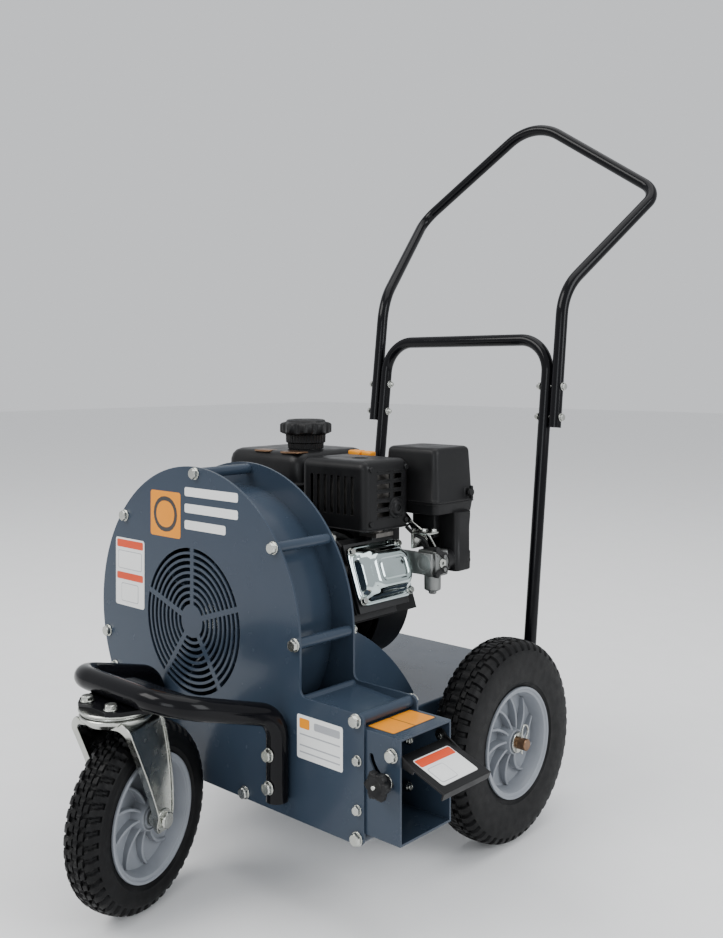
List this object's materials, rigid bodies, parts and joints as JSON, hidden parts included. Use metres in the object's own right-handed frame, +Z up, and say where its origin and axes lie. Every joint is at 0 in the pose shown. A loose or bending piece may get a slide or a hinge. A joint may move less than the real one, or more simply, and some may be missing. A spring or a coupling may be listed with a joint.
{
  "type": "walk behind leaf blower",
  "caption": "Walk behind petrol leaf blower: caged radial fan in a scroll housing with a tilting outlet flap, engine, two rear wheels, a front caster and a looped push handle.",
  "frame": {"origin": "bottom centre of the whole machine, on the floor", "axes": "+X to the air outlet side, +Y to the operator, +Z up; the caster and the fan intake face -Y"},
  "size_m": [0.6224, 0.9766, 1.0923],
  "materials": {
    "slate_paint": "slate blue grey gloss powder coat, lightly worn",
    "black_paint": "gloss black powder coat",
    "black_enamel": "satin black enamel on pressed steel",
    "zinc": "bright zinc plating",
    "dark_steel": "heat darkened steel",
    "chrome": "bright chrome plating",
    "cast_aluminium": "as cast aluminium",
    "black_plastic": "textured black moulding",
    "grey_plastic": "light grey moulding",
    "rubber": "moulded black rubber",
    "filter_paper": "pleated filter paper",
    "tyre": "black tread rubber"
  },
  "bodies": {
    "chassis": {"base_frame": "slate_paint", "base_gussets": "slate_paint", "guard_bar": "black_paint", "guard_bar_bolts": "zinc", "caster_mount_plate": "black_paint", "caster_top_plate": "zinc", "housing_front_plate": "slate_paint", "housing_rear_plate": "slate_paint", "scroll_wall": "slate_paint", "plate_spacers": "slate_paint", "housing_bolts": "zinc", "outlet_box": "slate_paint", "outlet_bolts": "zinc", "crankcase": "cast_aluminium", "crankcase_cover": "cast_aluminium", "cylinder_head": "cast_aluminium", "valve_cover": "chrome", "fan_shroud": "black_paint", "recoil_cover": "black_paint", "fuel_tank": "black_enamel", "muffler": "dark_steel", "muffler_guard": "black_paint", "carburettor": "cast_aluminium", "lower_shroud": "black_paint", "spark_plug": "rubber", "oil_plugs": "black_plastic", "engine_bolts": "zinc", "lower_handle": "black_paint", "upper_handle": "black_paint", "handle_bolts": "zinc", "rear_axle": "zinc", "axle_keepers": "zinc", "air_cleaner_base": "black_plastic", "air_filter": "filter_paper", "air_cleaner_cover": "black_plastic"},
    "caster": {"caster_fork": "zinc", "caster_axle": "zinc"},
    "front_wheel": {"front_tyre": "tyre", "front_hub": "grey_plastic"},
    "rear_wheel_right": {"rear_tyre_right": "tyre", "rear_hub_right": "grey_plastic"},
    "rear_wheel_left": {"rear_tyre_left": "tyre", "rear_hub_left": "grey_plastic"},
    "rotor": {"crankshaft": "dark_steel", "impeller": "slate_paint", "impeller_bolt": "zinc", "flywheel": "cast_aluminium"},
    "starter_reel": {"starter_pulley": "black_plastic"},
    "starter_grip": {"recoil_grip": "black_plastic"},
    "deflector": {"deflector_flap": "black_paint", "clamp_stud": "zinc"},
    "deflector_knob": {"clamp_knob": "black_plastic"},
    "tank_cap": {"fuel_cap": "black_plastic"},
    "choke": {"choke_lever": "black_plastic"},
    "fuel_tap": {"fuel_lever": "black_plastic"},
    "throttle": {"throttle_lever": "black_plastic"},
    "stop_switch": {"engine_switch": "black_plastic"},
    "filter_knob": {"air_cleaner_knob": "black_plastic"}
  },
  "joints": [
    {"name": "caster_swivel", "type": "hinge", "parent": "chassis", "child": "caster", "pos_m": [-0.0472, -0.4158, 0.246], "axis": [0, 0, 1], "continuous": true},
    {"name": "front_wheel_spin", "type": "hinge", "parent": "caster", "child": "front_wheel", "pos_m": [-0.05823, -0.37735, 0.112], "axis": [0.9613, 0.2756, 0], "continuous": true},
    {"name": "rear_wheel_right_spin", "type": "hinge", "parent": "chassis", "child": "rear_wheel_right", "pos_m": [0.1618, 0.0732, 0.137], "axis": [1, 0, 0], "continuous": true},
    {"name": "rear_wheel_left_spin", "type": "hinge", "parent": "chassis", "child": "rear_wheel_left", "pos_m": [-0.2562, 0.0732, 0.137], "axis": [1, 0, 0], "continuous": true},
    {"name": "rotor_spin", "type": "hinge", "parent": "chassis", "child": "rotor", "pos_m": [-0.1062, 0.0732, 0.315], "axis": [0, 1, 0], "continuous": true},
    {"name": "starter_reel_turn", "type": "hinge", "parent": "chassis", "child": "starter_reel", "pos_m": [-0.1062, 0.0772, 0.315], "axis": [0, -1, 0], "range_deg": [0, 910]},
    {"name": "starter_pull", "type": "slide", "parent": "chassis", "child": "starter_grip", "axis": [-0.9848, 0, 0.1736], "range_m": [0, 0.6], "stiffness_N_per_m": 30, "springref_m": -0.1},
    {"name": "deflector_tilt", "type": "hinge", "parent": "chassis", "child": "deflector", "pos_m": [0.2413, 0.0732, 0.223], "axis": [0, 1, 0], "range_deg": [-8, 54]},
    {"name": "deflector_knob_turn", "type": "hinge", "parent": "deflector", "child": "deflector_knob", "pos_m": [0.23302, -0.2668, 0.19209], "axis": [0, 1, 0], "continuous": true},
    {"name": "fuel_cap_turn", "type": "hinge", "parent": "chassis", "child": "tank_cap", "pos_m": [-0.1432, -0.0088, 0.545], "axis": [0, 0, 1], "range_deg": [0, 90]},
    {"name": "choke_turn", "type": "hinge", "parent": "chassis", "child": "choke", "pos_m": [0.0851, 0.0412, 0.385], "axis": [1, 0, 0], "range_deg": [0, 40]},
    {"name": "fuel_tap_turn", "type": "hinge", "parent": "chassis", "child": "fuel_tap", "pos_m": [0.0851, 0.0412, 0.366], "axis": [1, 0, 0], "range_deg": [0, 40]},
    {"name": "throttle_turn", "type": "hinge", "parent": "chassis", "child": "throttle", "pos_m": [-0.0362, 0.0675, 0.375], "axis": [0, 1, 0], "range_deg": [0, 40]},
    {"name": "stop_switch_turn", "type": "hinge", "parent": "chassis", "child": "stop_switch", "pos_m": [-0.0662, 0.0675, 0.403], "axis": [0, 1, 0], "range_deg": [0, 90]},
    {"name": "filter_knob_turn", "type": "hinge", "parent": "chassis", "child": "filter_knob", "pos_m": [0.0848, 0.1032, 0.47], "axis": [1, 0, 0], "continuous": true}
  ],
  "couplings": [
    {"joint": "starter_reel_turn", "follows": "starter_pull", "rad_per_m": 26.316}
  ]
}
